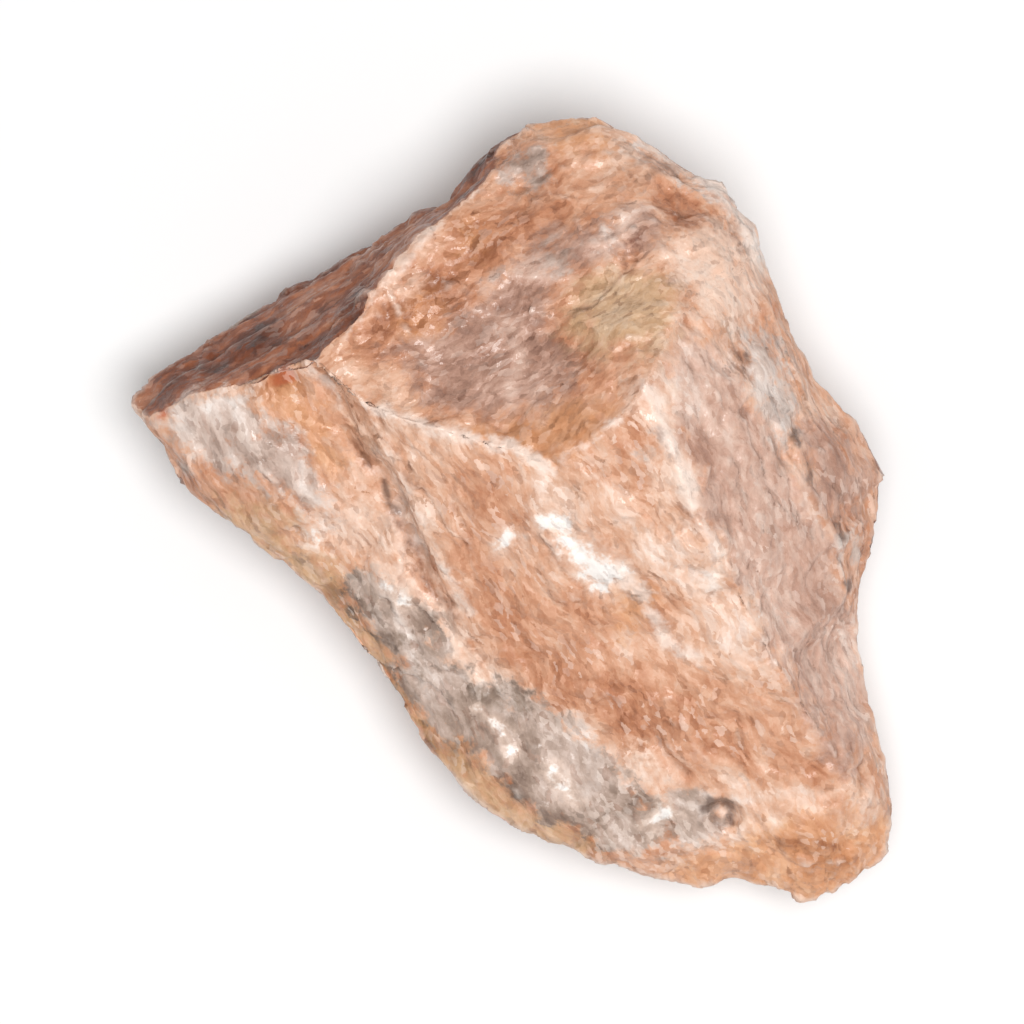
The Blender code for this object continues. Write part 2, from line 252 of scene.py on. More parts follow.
def noise(points, size, seed):
    """Smooth noise from -1 to 1 that changes over about one size; each seed gives another."""
    scaled = points / size
    base = np.floor(scaled)
    fade = scaled - base
    fade = fade ** 3 * (fade * (fade * 6.0 - 15.0) + 10.0)
    total = np.zeros(len(points))
    for corner in np.ndindex(2, 2, 2):
        share = np.where(corner, fade, 1.0 - fade).prod(axis=1)
        total += share * random_at(base + corner, seed)
    return total


def swing(points, reach_and_size, seed):
    """Noise that reaches so far either way and changes over about one size."""
    reach, size = reach_and_size
    return reach * noise(points, size, seed)


def drift(points, size, seed):
    """A smooth random shift of each point, from -1 to 1 in each direction."""
    return np.stack([noise(points, size, seed + axis) for axis in range(3)], axis=1)


def layered_noise(points, sizes, seed):
    """Noise of several sizes, each half as strong as the one before it."""
    return sum(0.5 ** i * noise(points, size, seed + i) for i, size in enumerate(sizes))


def patches(points, size, seed, middle, span):
    """How much of something there is at each point, from 0 to 1, in patches of about one size."""
    return np.clip(middle + span * noise(points, size, seed), 0.0, 1.0)


def facets(points, size, seed):
    """Broken facets: each patch of about one size tilts its own way, from about -1 to 1."""
    scaled = points / size
    base = np.floor(scaled)
    nearest = np.full(len(points), 9.0)
    height = np.zeros(len(points))
    for corner in np.ndindex(3, 3, 3):
        cell = base + np.array(corner) - 1.0
        jitter = [random_at(cell, seed + axis) for axis in range(3)]
        tilt = [random_at(cell, seed + 3 + axis) for axis in range(3)]
        offset = scaled - cell - 0.5 - JITTER * np.stack(jitter, axis=1)
        distance = (offset ** 2).sum(axis=1)
        closer = distance < nearest
        nearest = np.where(closer, distance, nearest)
        height = np.where(closer, (offset * np.stack(tilt, axis=1)).sum(axis=1), height)
    return height


def steps(values):
    """Flat treads with short risers, one for each whole number."""
    tread = np.floor(values)
    rise = np.clip((values - tread - TREAD) / RISER, 0.0, 1.0)
    return tread + rise * rise * (3.0 - 2.0 * rise)


def stretched(points, direction, times=1):
    """The same points, closer together along a direction, so that what they carry is drawn out."""
    along = np.array(direction) / np.linalg.norm(direction)
    for _ in range(times):
        points = points - (1.0 - 1.0 / GRAIN_STRETCH) * (points @ along)[:, None] * along
    return points


def broken(points):
    """Height of the broken facets and of the small chips on them."""
    return FACET[0] * facets(points, FACET[1], 20) + CHIP[0] * facets(points, CHIP[1], 30)


def plan_distance(points, line):
    """How far each point is, seen from above, from a line of named points."""
    nearest = np.full(len(points), 1e3)
    for start, end in zip(line[:-1], line[1:]):
        a = np.array(start[:2])
        along = np.array(end[:2]) - a
        share = np.clip((points[:, :2] - a) @ along / (along @ along), 0.0, 1.0)
        gap = points[:, :2] - a - share[:, None] * along
        nearest = np.minimum(nearest, np.hypot(gap[:, 0], gap[:, 1]))
    return nearest


def centre_distance(points, centre):
    """How far each point is, seen from above, from a centre."""
    return plan_distance(points, [centre, (centre[0] + DOT, centre[1])])


def relief(points, normals):
    """How far each point of the smooth stone moves out along its normal."""
    bent = points + WARP[0] * drift(points, WARP[1], 11)
    broad = swing(points, LUMP, 1) + swing(points, DIMPLE, 2)
    ledges = LEDGE * steps((broad + swing(points, FRAY, 3)) / LEDGE)
    move = ledges * LEDGE_SHARE + (1.0 - LEDGE_SHARE) * broad

    # Facets and chips, along the face's grain on the north-west face and the slopes' elsewhere
    upper = np.clip(normals[:, 2] * 2.5, 0.0, 1.0)
    rough = (1.0 - (1.0 - UPPER_SHARE) * upper) * np.clip(0.65 + noise(points, CALM, 8), 0.2, 1.1)
    on_face = np.clip(4.0 * (normals @ np.array(FACE_NORMAL)) - 2.2, 0.0, 1.0)
    move += rough * (1.0 - on_face) * broken(stretched(bent, SLOPE_GRAIN))
    move += rough * on_face * broken(stretched(bent, FACE_GRAIN))

    # Edges of the layers, which show on the sides
    layer_normal = np.array(LAYER_NORMAL) / np.linalg.norm(LAYER_NORMAL)
    side = 1.0 - (normals @ layer_normal) ** 2
    height = (points @ layer_normal + swing(points, LAYER_WAVE, 5)) / LAYER[1]
    patchy = patches(points, LAYERED, 6, 0.5, 0.9)
    move += LAYER[0] * side * patchy * (steps(height) - height + 0.5 * TREAD)

    # Cracks and pits of the upper side
    open_part = patches(points, OPEN, 7, 0.6, 0.8)
    for line in (SHELF_CREASE[:5], SLOPE_CRACK, EAST_LEDGE[:8]):
        gap = plan_distance(bent, line)
        move -= upper * open_part * CREASE_DEPTH * np.exp(-(gap / CREASE_WIDTH) ** 2)
    for centre, width, depth in (PIT, NOTCH):
        gap = centre_distance(points, centre)
        move -= upper * depth * np.exp(-(gap / width) ** 4)

    # Next to nothing moves close to the ground
    return move * np.clip((points[:, 2] + 0.2) / 1.4, 0.0, 1.0)


# Fine relief that only the eye needs, in millimetres: how far it reaches, and over what distance
CLEAVAGE_STEP = (0.13, 1.15)
SPLINTER = (0.15, 1.3)
FLAKE = (0.08, 0.62)
FIBRE = (0.02, 0.75)
GRAIN_RELIEF = (0.05, 0.45)
FINE_WARP = (0.5, 2.2)


def fine_relief(points, marks):
    """Small steps along the cleavage, splinters, flakes, fibres and grains."""
    bent = points + FINE_WARP[0] * drift(points, FINE_WARP[1], 41)
    drawn = stretched(bent, SLOPE_GRAIN, 2)
    along = np.array(SLOPE_GRAIN) / np.linalg.norm(SLOPE_GRAIN)
    across = np.cross(along, (0.0, 0.0, 1.0))
    across /= np.linalg.norm(across)
    phase = (bent @ across) / CLEAVAGE_STEP[1] + 0.9 * noise(drawn, 1.8, 44)
    patchy = patches(drawn, 2.6, 45, 0.35, 1.1)
    move = CLEAVAGE_STEP[0] * patchy * (steps(phase) - phase + 0.4)
    move += swing(drawn, FIBRE, 46)
    granular = 0.3 + smooth(np.maximum(marks["quartz"], marks["mauve"]), -0.5, 0.5)
    move += GRAIN_RELIEF[0] * granular * noise(points, GRAIN_RELIEF[1], 47)
    chipped = patches(points, 3.0, 48, 0.35, 1.3)
    for (reach, size), seed in ((SPLINTER, 50), (FLAKE, 60)):
        move += reach * chipped * facets(stretched(bent, SLOPE_GRAIN), size, seed)
    return move * np.clip((points[:, 2] - 0.1) / 0.8, 0.0, 1.0)


# Regions of colour on the upper side, drawn in plan, in millimetres (x, y)
QUARTZ_BAND = [
    (-8.0, -3.6), (-7.0, -5.4), (-5.5, -7.9), (-3.9, -9.8), (-2.1, -11.6), (-0.2, -13.3),
    (1.5, -14.8), (3.5, -15.8), (5.6, -16.2), (8.1, -15.9), (10.3, -15.4), (10.8, -14.9),
    (10.2, -14.3), (8.4, -14.1), (6.6, -13.6), (5.2, -12.5), (4.1, -11.3), (2.9, -10.3),
    (1.3, -9.4), (-0.2, -8.4), (-1.5, -7.9), (-2.7, -6.7), (-3.9, -5.4), (-5.5, -3.8),
    (-6.7, -3.2),
]
SHELF_PEARL = [
    (-16.9, 4.0), (-14.9, 5.2), (-12.0, 5.8), (-10.8, 4.2), (-9.6, 2.5), (-8.4, 0.9),
    (-7.9, -0.6), (-9.3, -0.6), (-11.0, 0.6), (-12.8, 1.9), (-14.9, 2.3), (-16.0, 3.0),
]
NORTH_EAST_PEARL = [
    (6.4, 17.4), (8.0, 16.6), (10.4, 15.2), (12.3, 13.4), (13.0, 11.4), (12.3, 12.0),
    (11.4, 13.6), (9.6, 15.0), (7.8, 16.1),
]
EAST_PEARL = [
    (10.9, 8.0), (12.6, 8.2), (13.2, 6.0), (13.7, 3.2), (13.0, 2.6), (12.2, 4.6), (11.2, 6.2),
]
SHELF_AMBER = [
    (-11.4, 5.7), (-9.6, 5.8), (-8.2, 4.2), (-7.4, 2.4), (-8.2, 1.9), (-9.7, 3.2), (-10.9, 4.5),
]
CREST_AMBER = [
    (-2.4, 4.0), (0.0, 3.7), (1.2, 4.4), (3.2, 5.0), (4.8, 4.8), (4.0, 3.4), (2.6, 2.7),
    (1.0, 2.7), (-1.2, 3.2),
]
KNOB_AMBER = [
    (11.4, -15.2), (14.0, -14.6), (17.0, -14.4), (18.6, -15.4), (17.6, -18.0), (14.4, -19.0),
    (11.4, -18.4), (8.6, -18.4), (7.2, -17.2), (10.6, -16.6),
]
CREAM_PATCH = [
    (7.4, 12.4), (9.0, 13.4), (10.6, 13.5), (11.5, 12.5), (11.9, 10.7), (11.9, 9.0), (11.3, 7.9),
    (10.5, 7.8), (9.7, 8.9), (8.4, 9.9), (7.4, 11.0),
]
CREAM_STRIP = [
    (-6.4, -2.2), (-4.6, -3.0), (-2.8, -4.8), (-1.0, -7.2), (1.0, -9.2), (3.0, -10.3),
    (5.0, -12.2), (7.4, -13.3), (6.8, -13.9), (4.4, -12.3), (2.6, -11.0), (0.4, -9.9),
    (-1.6, -8.5), (-3.3, -6.5), (-4.8, -5.2), (-6.2, -3.6),
]
# A painted highlight along the edge below the apex, laid on as cream
APEX_WEDGE = [(5.8, 5.0), (7.2, 5.6), (7.6, 3.4), (8.3, 0.8), (7.4, 0.6), (6.2, 2.6)]
OLIVE_PATCH = [
    (2.8, 9.0), (4.0, 10.6), (6.2, 11.2), (7.9, 10.2), (7.9, 8.4), (6.8, 7.4), (4.6, 7.4),
    (3.2, 7.8),
]
RIM_TAN = [
    (-12.4, 0.3), (-10.0, -1.4), (-8.2, -2.8), (-7.4, -4.6), (-5.9, -7.2), (-3.9, -9.9),
    (-1.4, -12.4), (1.2, -14.6), (4.2, -16.0), (4.0, -17.4), (0.4, -15.8), (-3.4, -12.6),
    (-6.4, -9.0), (-8.9, -4.9), (-11.0, -2.4), (-13.6, -0.6),
]
MAUVE_BAND = [
    (-6.0, 7.2), (-4.0, 8.4), (-2.0, 9.6), (0.2, 11.4), (3.0, 13.2), (6.6, 14.4), (7.4, 13.0),
    (5.2, 12.0), (2.6, 10.8), (1.8, 9.2), (2.6, 7.6), (3.4, 5.8), (1.6, 4.6), (-1.0, 4.6),
    (-4.0, 5.6),
]
EAST_SLOPE = [
    (6.8, 5.6), (8.4, 8.8), (9.8, 7.7), (11.5, 5.6), (13.5, 2.6), (15.2, -1.2), (16.8, -5.6),
    (17.4, -10.0), (16.4, -12.6), (12.6, -7.1), (10.4, -3.0), (8.8, 0.4), (7.6, 3.2),
]
LEDGE_MAUVE = [(13.6, 4.6), (15.4, 4.0), (17.4, 1.4), (16.8, -0.8), (15.2, -0.6), (14.0, 2.2)]
# A painted highlight along an edge of the front slope, laid on as white
WHITE_WEDGE = [
    (1.4, -0.3), (2.1, 0.0), (3.0, -1.0), (3.9, -1.9), (5.3, -2.5), (5.4, -3.2), (4.8, -4.2),
    (4.0, -3.6), (3.4, -2.6), (2.4, -1.8), (1.6, -1.1),
]
PLATEAU = [
    (-9.6, 6.9), (-7.5, 5.2), (-5.4, 4.3), (-2.4, 3.4), (1.8, 2.2), (3.6, 3.0), (5.6, 4.4),
    (6.4, 5.7), (8.2, 9.1), (10.4, 10.8), (12.4, 12.6), (9.8, 15.0), (5.0, 18.0), (1.6, 18.0),
    (-0.9, 16.0), (-4.8, 12.2), (-7.2, 9.4),
]
# Round marks: the centre and the radius, in millimetres
QUARTZ_SPOTS = [((8.8, -14.9), 1.7)]
PEARL_SPOTS = [
    ((0.8, 16.1), 0.7), ((7.0, 3.0), 0.5), ((-0.5, 10.8), 0.1), ((2.4, 11.6), 0.3),
    ((4.6, 13.1), 0.3), ((11.8, 6.1), 0.2), ((16.2, -1.8), 0.3),
]
CREAM_SPOTS = [((-7.4, -0.4), 1.0), ((6.0, -12.4), 0.7), ((-4.9, 10.9), 0.7), ((10.0, -3.2), 0.5)]
AMBER_SPOTS = [
    ((-10.7, 6.0), 0.7), ((-4.1, 9.5), 1.1), ((5.7, -4.9), 0.9), ((2.8, 17.7), 1.3),
    ((-1.8, 12.6), 0.7),
]
RUST_SPOTS = [((-10.6, 6.2), 0.55), ((-16.4, 4.5), 0.3)]
WHITE_SPOTS = [
    ((-0.1, -1.9), 0.16), ((-5.8, -3.9), 0.35), ((7.4, -14.7), 0.4), ((2.9, -0.1), 0.05),
    ((11.5, -5.0), 0.05), ((-8.8, -1.3), 0.2), ((-5.2, -4.6), 0.3),
]
# Streaks of white and of dark quartz: from where to where, and half the width, in
# millimetres. Below 0 they only show where their ragged border bulges
WHITE_STREAKS = [((-0.9, -10.0), (0.1, -11.1), 0.0), ((2.3, -12.5), (3.3, -13.6), 0.05)]
DARK_STREAKS = [
    ((-7.6, -3.9), (-6.6, -4.9), 0.2), ((-5.6, -6.4), (-3.8, -8.2), -0.1),
    ((-1.7, -8.5), (0.3, -9.5), 0.3), ((3.2, -13.6), (4.4, -14.5), -0.2),
]
# Short dark gaps in the pit by the knob, under the east ledge and beside the slope, painted dark as
# shade: from where to where, and half the width, in millimetres
CREVICES = [
    ((9.4, -14.4), (9.8, -13.95), 0.18), ((9.8, -13.95), (10.4, -13.95), 0.18),
    ((10.4, -13.95), (10.85, -14.4), 0.18), ((10.85, -14.4), (10.7, -15.0), 0.15),
    ((11.1, 7.1), (11.3, 6.8), 0.1), ((13.6, 3.6), (13.8, 3.2), 0.2),
    ((14.1, 2.2), (14.3, 1.3), 0.05), ((15.7, -0.9), (16.0, -1.6), 0.1),
    ((16.2, -3.6), (16.3, -4.9), 0.1), ((-6.0, 1.2), (-5.2, -0.4), 0.08),
]
# Lines by their points: an open crack and a pale edge along the north-east rim, and a pale
# vein below the white wedge
NORTH_CRACK = [(6.4, 16.6), (7.9, 15.7), (9.2, 14.9), (10.3, 13.7), (11.1, 12.3)]
NORTH_EAST_RIM = [(8.4, 16.2), (9.9, 15.2), (11.0, 13.8), (11.7, 12.3), (12.1, 11.0)]
VEIN = [(5.2, -2.8), (6.5, -4.7), (7.6, -6.4), (9.0, -7.1)]
# The lines that are painted pale, as wear and painted highlight, those painted less pale, and those
# that are open cracks, painted dark with painted shade
RIDGES = [CREST[:6], SLOPE_EDGE[:5], SOUTH_EAST_RIDGE[:3], VEIN]
SOFT_RIDGES = [CREST[5:], NORTH_WEST_BROW]
CLEFTS = [SHELF_CREASE[:5], SLOPE_CRACK, EAST_LEDGE[1:8], NORTH_CRACK]
# How much further away the less pale ridges and the north-east rim count as, in millimetres
SOFT_GAP = 0.3
RIM_GAP = 0.1
# Soft streaks of tone, partly the stone's own and partly painted shade and painted highlight: from
# where to where and how wide, in millimetres, and how strong, paler above 0 and deeper below
TONES = [
    ((-5.4, 3.4), (-1.5, 2.2), 0.9, 0.05), ((-5.0, 1.6), (-1.0, 0.4), 0.9, -0.03),
    ((-2.4, -2.8), (2.4, -6.4), 1.2, -0.04), ((-0.6, -5.4), (5.4, -9.8), 1.5, -0.06),
    ((3.0, 1.2), (6.6, -1.4), 1.6, 0.04), ((7.0, -1.8), (9.8, -6.2), 1.1, 0.09),
    ((7.4, -9.0), (13.0, -11.4), 1.6, -0.09), ((8.5, 3.6), (10.2, -0.6), 0.6, -0.1),
    ((8.1, 6.0), (9.9, 3.0), 0.5, 0.05), ((13.4, -0.2), (15.0, -4.8), 1.1, -0.11),
    ((10.4, 5.4), (12.2, 2.0), 0.8, -0.05), ((-5.4, 6.4), (-0.6, 5.6), 1.2, -0.03),
    ((-5.4, 8.4), (-3.0, 9.6), 1.4, -0.1), ((-1.0, 7.6), (1.0, 8.4), 1.6, -0.08),
    ((11.6, 6.8), (12.8, 4.4), 0.7, 0.06), ((0.6, 8.0), (2.8, 6.0), 1.3, -0.05),
    ((1.4, 13.4), (3.0, 13.6), 1.2, -0.06), ((0.2, 4.2), (3.6, 3.8), 0.8, -0.03),
    ((7.6, 14.6), (9.0, 13.8), 0.6, -0.11), ((15.0, 2.6), (16.4, 0.4), 1.0, -0.07),
    ((-11.0, 6.1), (-10.4, 5.9), 0.6, -0.2), ((-5.6, 0.4), (-4.2, -2.6), 0.7, 0.04),
    ((-8.6, 1.6), (-7.4, -0.4), 0.8, -0.05), ((-6.4, -2.4), (-5.0, -5.2), 0.9, -0.05),
    ((5.0, -8.4), (6.4, -11.2), 0.8, -0.08), ((11.0, -3.4), (12.6, -7.0), 0.8, -0.04),
    ((0.2, 16.4), (1.4, 15.8), 1.0, -0.08), ((11.0, -13.9), (16.4, -13.2), 0.45, 0.1),
    ((14.0, -17.4), (16.0, -17.0), 0.9, -0.07), ((12.8, -14.6), (13.4, -14.8), 0.4, 0.14),
    ((14.3, -14.3), (14.8, -14.3), 0.35, 0.12), ((13.0, -15.8), (13.8, -15.8), 0.4, -0.13),
    ((14.9, -15.7), (15.5, -15.9), 0.4, -0.17), ((16.4, -14.8), (16.9, -15.4), 0.8, 0.07),
    ((10.8, -17.0), (12.0, -17.0), 0.5, -0.09), ((10.7, -12.4), (11.1, -12.9), 0.5, 0.08),
    ((11.9, -10.8), (12.2, -11.6), 0.35, 0.1), ((-16.0, 4.4), (-12.6, 5.2), 0.5, 0.05),
    ((-3.6, 8.0), (4.0, 13.0), 4.2, -0.065), ((-6.2, -5.0), (-5.0, -7.0), 1.0, 0.03),
    ((4.8, -14.4), (7.4, -14.8), 1.2, -0.08), ((15.4, 3.0), (16.4, -0.4), 1.2, -0.06),
    ((-7.4, 6.4), (-5.6, 5.8), 0.8, 0.06), ((-14.6, 2.6), (-11.0, 3.4), 1.4, -0.08),
    ((-2.0, 1.6), (2.6, -2.6), 0.6, -0.04), ((5.4, 3.2), (6.6, 0.4), 0.8, -0.06),
    ((4.2, 12.4), (6.6, 14.2), 0.8, 0.09), ((-3.4, 11.0), (-1.4, 12.8), 1.2, -0.08),
    ((-12.6, 0.0), (-8.2, -3.6), 0.8, -0.07), ((-8.2, -4.2), (-3.4, -11.4), 0.8, -0.12),
    ((-3.0, -11.8), (5.4, -16.8), 0.9, -0.12), ((0.8, 11.6), (3.4, 9.6), 0.7, 0.05),
    ((-3.0, 7.2), (0.8, 8.6), 0.6, 0.06), ((12.2, 10.4), (12.6, 8.6), 0.7, -0.06),
    ((1.4, 1.6), (2.6, 0.4), 0.8, 0.05), ((12.4, -8.4), (14.4, -10.2), 0.9, -0.03),
    ((0.3, 8.4), (-0.4, 5.0), 0.4, 0.11), ((-6.1, 8.0), (-3.0, 8.4), 0.35, 0.08),
    ((-1.6, 10.2), (2.4, 11.4), 0.7, 0.07), ((-16.0, 6.0), (-11.5, 8.4), 1.0, -0.12),
    ((-11.4, 2.2), (-9.2, 0.8), 0.8, -0.06), ((-10.2, 9.0), (-5.0, 13.0), 1.0, 0.05),
    ((-3.4, -8.8), (1.0, -12.6), 0.5, -0.03), ((0.6, 3.6), (2.8, 3.0), 0.6, -0.05),
    ((-6.0, 9.4), (-3.4, 10.4), 0.9, -0.05), ((15.6, -6.6), (15.6, -9.6), 0.9, 0.05),
]
# Mottling of the tone, from fine to broad, and the wisps of the pearl and the quartz: how
# strong, and over what distance, in millimetres
FINE_MOTTLE = (0.03, 0.8)
GRAIN_MOTTLE = (0.06, 1.5)
BROAD_GRAIN = (0.11, 3.1)
BROAD_MOTTLE = (0.06, 5.5)
FACE_MOTTLE = (0.07, 0.9)
WISP = (0.075, 1.1)
FINE_WISP = (0.05, 0.45)
# The way that the plateau's streaks and the quartz's wisps run
PLATEAU_GRAIN = (0.80, 0.56, 0.22)
BAND_GRAIN = (0.68, -0.72, -0.05)
# Further than this from a mark, in millimetres, nothing of it is left
FAR = 3.0
# How far up a normal points where the marks begin to show and where they are full, and where the
# stone is steep
UPWARD = (0.05, 0.3)
STEEP = (0.72, 0.47)
# How far the borders of the patches and the course of the lines stray: over what distances
# and how far, in millimetres
STRAY_SIZES = (1.7, 0.8)
BORDER_STRAY = 0.5
LINE_STRAY = 0.25
# Patches on the sides that the photograph hides: the sizes of their noise, and how many
# millimetres inside a patch its swing from 0 to 1 stands for
HIDDEN_QUARTZ = (6.5, 3.0, 1.4)
HIDDEN_CREAM = (5.5, 2.6, 1.2)
HIDDEN_REACH = 3.0
# Sizes of the places that have many flecks, in millimetres
FLECKED_SIZES = (2.6, 1.1)


def inside(points, corners):
    """How far each point is inside a region drawn in plan, or outside it below zero."""
    closed = corners + corners[:1]
    gap = plan_distance(points, closed)
    crossings = np.zeros(len(points), dtype=bool)
    for (ax, ay), (bx, by) in zip(closed[:-1], closed[1:]):
        spans = (points[:, 1] < ay) != (points[:, 1] < by)
        rise = by - ay if by != ay else 1e-9
        crossings ^= spans & (points[:, 0] < ax + (points[:, 1] - ay) * (bx - ax) / rise)
    return np.where(crossings, gap, -gap)


def smooth(values, low, high):
    """0 below the low value, 1 above the high one, and a smooth blend between them."""
    share = np.clip((values - low) / (high - low), 0.0, 1.0)
    return share * share * (3.0 - 2.0 * share)


def region(points, *outlines):
    """How far inside the nearest of some regions each point is."""
    return np.maximum.reduce([inside(points, corners) for corners in outlines])


def spots(points, marks):
    """How far inside the nearest of some round marks each point is."""
    return np.maximum.reduce([radius - centre_distance(points, centre)
                              for centre, radius in marks])


def streaks(points, marks):
    """How far inside the nearest of some streaks each point is."""
    return np.maximum.reduce([radius - plan_distance(points, [start, end])
                              for start, end, radius in marks])


def lines(points, *routes):
    """How far each point is from the nearest of some lines."""
    return np.minimum.reduce([plan_distance(points, route) for route in routes])


def mineral_marks(points, spread, under, on_face):
    """How far inside each mineral's patches each point is, in millimetres."""
    shown = {
        "quartz": np.maximum(region(spread, QUARTZ_BAND), spots(spread, QUARTZ_SPOTS)),
        "pearl": np.maximum(region(spread, SHELF_PEARL, EAST_PEARL, NORTH_EAST_PEARL),
                            spots(spread, PEARL_SPOTS)),
        "cream": np.maximum(region(spread, CREAM_PATCH, CREAM_STRIP, APEX_WEDGE),
                            spots(spread, CREAM_SPOTS)),
        "amber": np.maximum(region(spread, SHELF_AMBER, CREST_AMBER, KNOB_AMBER),
                            spots(spread, AMBER_SPOTS)),
        "mauve": region(spread, MAUVE_BAND, EAST_SLOPE, LEDGE_MAUVE),
        "olive": region(spread, OLIVE_PATCH, RIM_TAN),
        "white": np.maximum.reduce([spots(spread, WHITE_SPOTS), streaks(spread, WHITE_STREAKS),
                                    region(0.6 * points + 0.4 * spread, WHITE_WEDGE)]),
        "dark": streaks(spread, DARK_STREAKS),
        "rust": spots(spread, RUST_SPOTS),
    }
    over = FAR - under
    wild = layered_noise(points, HIDDEN_QUARTZ, 71)
    wilder = layered_noise(points, HIDDEN_CREAM, 74)
    hidden = {"quartz": wild - 0.6, "cream": wilder - 0.7, "amber": -wilder - 0.6}
    marks = {}
    for name, values in shown.items():
        marks[name] = np.clip(values, -FAR, FAR) - under
        if name in hidden:
            marks[name] = np.maximum(marks[name], HIDDEN_REACH * hidden[name] - over)
    # Brown on the north-west face and on the hidden sides that look down: partly the stone's own
    # colour, partly painted shade that darkens the steep sides
    marks["brown"] = np.maximum(3.0 * on_face - 1.5, -2.4 * wild - 0.4 - over)
    return marks


def line_marks(near, under, steep, closed):
    """How far each point is from the ridges painted pale and the cracks painted dark, and how far
    inside a crevice.
    """
    wear_and_highlight = np.minimum(lines(near, *RIDGES), SOFT_GAP + lines(near, *SOFT_RIDGES))
    rim = RIM_GAP + lines(near, NORTH_EAST_RIM)
    return {
        "ridge": under + np.minimum(wear_and_highlight + 0.6 * steep, rim),
        "cleft": lines(near, *CLEFTS) + under + 0.7 * closed,
        "crevice": streaks(near, CREVICES) - under,
    }


def tone_mark(points, spread, over, face):
    """How much paler, above 0, or deeper than the rest each point is."""
    drawn = stretched(spread, SLOPE_GRAIN)
    broad = swing(drawn, BROAD_GRAIN, 83) + swing(points, BROAD_MOTTLE, 84)
    tone = (swing(points, FINE_MOTTLE, 81) + swing(drawn, GRAIN_MOTTLE, 82)
            + (1.0 - 0.6 * over / FAR) * broad)
    combed = stretched(spread, FACE_GRAIN, 2)
    tone += FACE_MOTTLE[0] * face * noise(combed, FACE_MOTTLE[1], 89)
    for start, end, width, strength in TONES:
        gap = plan_distance(spread, [start, end])
        tone += over / FAR * strength * np.exp(-(gap / width) ** 2)
    return tone


def colour_marks(points, normals):
    """What the material reads from each point: how far inside each mineral's patches it is, how far
    from the ridges painted pale with wear and painted highlight and from the cracks painted dark
    with painted shade, in millimetres, and its tone."""
    ragged = drift(points, STRAY_SIZES[0], 61)
    ragged += 0.5 * drift(points, STRAY_SIZES[1], 64)
    spread = points + BORDER_STRAY * ragged

    # How far a point looks down or sideways, and how far up, both from 0 to FAR
    under = FAR * (1.0 - smooth(normals[:, 2], *UPWARD))
    over = FAR - under
    steep = smooth(np.abs(normals[:, 2]), *STEEP)
    on_face = smooth(normals @ np.array(FACE_NORMAL), 0.55, 0.85) * steep
    on_face *= smooth(-points[:, 0], -1.5, 0.5)

    marks = mineral_marks(points, spread, under, on_face)
    closed = patches(points, OPEN, 7, 0.4, -0.8)
    marks.update(line_marks(points + LINE_STRAY * ragged, under, steep, closed))
    marks["face"] = (on_face > 0.3).astype(float)
    marks["plateau"] = (inside(points, PLATEAU) > 0.0) * (1.0 - marks["face"]) * (over > 0.5 * FAR)
    banded = stretched(spread, BAND_GRAIN, 2)
    marks["wisp"] = swing(banded, WISP, 87) + swing(banded, FINE_WISP, 88)
    marks["tone"] = tone_mark(points, spread, over, marks["face"])
    flecked = smooth(layered_noise(points, FLECKED_SIZES, 85), -0.6, 0.5)
    marks["flecked"] = flecked * (1.0 - 0.5 * np.maximum(marks["face"], marks["plateau"]))
    return marks


def fitted(points, low, high):
    """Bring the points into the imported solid's box."""
    least, most = points.min(axis=0), points.max(axis=0)
    return low + (points - least) * (high - low) / (most - least)


def mesh_arrays(mesh):
    """The places and the normals of a mesh's points."""
    count = len(mesh.vertices)
    points = np.empty(count * 3, dtype=np.float32)
    normals = np.empty(count * 3, dtype=np.float32)
    mesh.vertices.foreach_get("co", points)
    mesh.vertices.foreach_get("normal", normals)
    return points.reshape(-1, 3).astype(float), normals.reshape(-1, 3).astype(float)


def keep_on(mesh, name, values):
    """Keep one number for each point of a mesh, for the material to read."""
    layer = mesh.attributes.new(name, "FLOAT", "POINT")
    layer.data.foreach_set("value", values.astype(np.float32))


def cut_flat(body):
    """Cut the stone off at the ground, so that it lies on a truly flat spot."""
    for vert in body.verts:
        if abs(vert.co.z) < SNAP:
            vert.co.z = 0.0
    everything = body.verts[:] + body.edges[:] + body.faces[:]
    bmesh.ops.bisect_plane(body, geom=everything, dist=0.0001, plane_co=(0, 0, 0),
                           plane_no=(0, 0, 1), clear_inner=True)
    bmesh.ops.holes_fill(body, edges=[edge for edge in body.edges if edge.is_boundary])
    bmesh.ops.triangulate(body, faces=body.faces)


# How sharply the surface bends where an edge starts and where it is full, in millimetres, and how
# often that is evened out
BEND = (0.006, 0.026)
BEND_ROUNDS = 3


def surface_bend(mesh, points, normals):
    """How much the surface bulges at each point: above 0 on edges, below 0 in hollows."""
    pairs = np.empty(len(mesh.edges) * 2, dtype=np.int32)
    mesh.edges.foreach_get("vertices", pairs)
    a, b = pairs.reshape(-1, 2).T
    size = len(points)
    count = np.bincount(a, minlength=size) + np.bincount(b, minlength=size)

    def average(values):
        """The mean of each point's neighbours."""
        total = np.bincount(a, weights=values[b], minlength=size)
        return (total + np.bincount(b, weights=values[a], minlength=size)) / count

    middle = np.stack([average(points[:, axis]) for axis in range(3)], axis=1)
    bend = ((points - middle) * normals).sum(axis=1)
    for _ in range(BEND_ROUNDS):
        bend = 0.5 * bend + 0.5 * average(bend)
    return bend


def moved_out(mesh, points, normals, distances):
    """Move a mesh's points out along their normals; gives their new places and normals."""
    moved = points + normals * distances[:, None]
    mesh.vertices.foreach_set("co", moved.ravel())
    mesh.update()
    return mesh_arrays(mesh)


